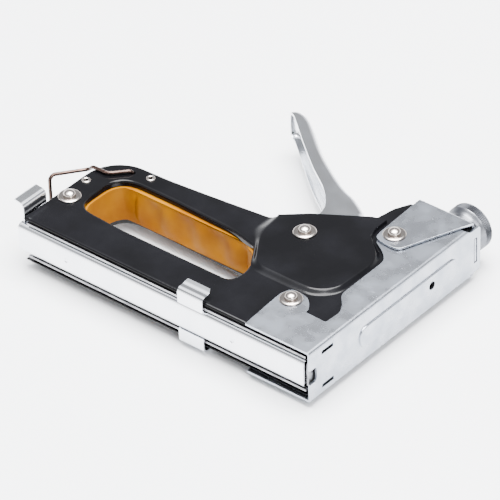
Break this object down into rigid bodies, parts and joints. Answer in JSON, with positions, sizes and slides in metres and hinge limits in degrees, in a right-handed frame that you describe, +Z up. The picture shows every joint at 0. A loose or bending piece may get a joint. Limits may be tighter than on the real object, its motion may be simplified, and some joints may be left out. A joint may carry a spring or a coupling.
{
  "type": "staple gun",
  "caption": "Hand staple gun with a black steel body, D-shaped hand hole, squeeze lever, plated nose, sliding staple magazine, tension knob and wire lever lock.",
  "frame": {"origin": "centre of the flat left head of the lever's pivot rivet, on the surface that the tool lies on", "axes": "+X forward to the nose, +Y from the staple exit towards the lever, +Z up out of the right side, along the lever's pivot"},
  "size_m": [0.176, 0.1424, 0.0338],
  "materials": {
    "black_paint": "semi-gloss black powder coat",
    "zinc_plate": "satin bluish zinc-chrome plating with fine scratches",
    "bright_chrome": "bright polished chrome",
    "nickel": "polished nickel",
    "tool_steel": "ground tool steel",
    "spring_steel": "oil-hardened brown spring wire",
    "amber_plastic": "amber-yellow moulded plastic, satin"
  },
  "bodies": {
    "frame": {"right_shell": "black_paint", "left_shell": "black_paint", "finger_insert": "amber_plastic", "nose_plate": "zinc_plate", "hood": "zinc_plate", "staple_strip": "bright_chrome", "lever_spacer_right": "tool_steel", "lever_spacer_left": "tool_steel", "magazine_channel": "tool_steel", "staple_rail": "tool_steel", "front_spacer": "tool_steel", "rear_spacer": "tool_steel", "main_spring": "spring_steel", "eyelet_1": "nickel", "eyelet_2": "nickel", "pivot_rivet": "nickel", "pivot_washer_right": "nickel", "pivot_washer_left": "nickel", "front_rivet": "nickel", "front_washer_right": "nickel", "front_washer_left": "nickel", "hood_rivet": "nickel", "hood_washer_right": "nickel", "hood_washer_left": "nickel", "rear_rivet": "nickel", "rear_washer_right": "nickel", "rear_washer_left": "nickel"},
    "lever": {"lever": "bright_chrome", "lever_bush": "tool_steel"},
    "plunger": {"plunger": "tool_steel", "striker_blade": "tool_steel"},
    "spring_seat": {"spring_seat": "tool_steel"},
    "adjuster": {"adjusting_screw": "tool_steel", "knob": "zinc_plate"},
    "magazine_cover": {"magazine_cover": "bright_chrome", "rear_pull_tab": "bright_chrome", "pusher_rod": "tool_steel", "pusher_spring": "spring_steel"},
    "pusher": {"pusher": "tool_steel"},
    "lock_bail": {"lock_bail": "spring_steel"}
  },
  "joints": [
    {"name": "lever_squeeze", "type": "hinge", "parent": "frame", "child": "lever", "pos_m": [0, 0, 0.0163], "axis": [0, 0, 1], "range_deg": [0, 36], "stiffness_Nm_per_rad": 0.6, "springref_deg": -17.19},
    {"name": "plunger_lift", "type": "slide", "parent": "frame", "child": "plunger", "axis": [0, 1, 0], "range_m": [0, 0.0235], "deforming": ["main_spring"]},
    {"name": "knob_turn", "type": "hinge", "parent": "frame", "child": "adjuster", "pos_m": [0.0426, 0.0452, 0.0163], "axis": [0, 1, 0], "range_deg": [-720, 720]},
    {"name": "seat_slide", "type": "slide", "parent": "frame", "child": "spring_seat", "axis": [0, 1, 0], "range_m": [-0.0025, 0.0025]},
    {"name": "cover_slide", "type": "slide", "parent": "frame", "child": "magazine_cover", "axis": [-1, 0, 0], "range_m": [0, 0.078]},
    {"name": "pusher_slide", "type": "slide", "parent": "magazine_cover", "child": "pusher", "axis": [-1, 0, 0], "range_m": [0, 0.055], "stiffness_N_per_m": 25, "springref_m": -0.02, "deforming": ["pusher_spring"]},
    {"name": "bail_swing", "type": "hinge", "parent": "frame", "child": "lock_bail", "pos_m": [-0.0894, -0.0099, 0.0163], "axis": [0, 0, 1], "range_deg": [-100, 0]}
  ],
  "couplings": [
    {"joint": "plunger_lift", "follows": "lever_squeeze", "m_per_rad": 0.03738},
    {"joint": "knob_turn", "follows": "seat_slide", "rad_per_m": -5025}
  ]
}
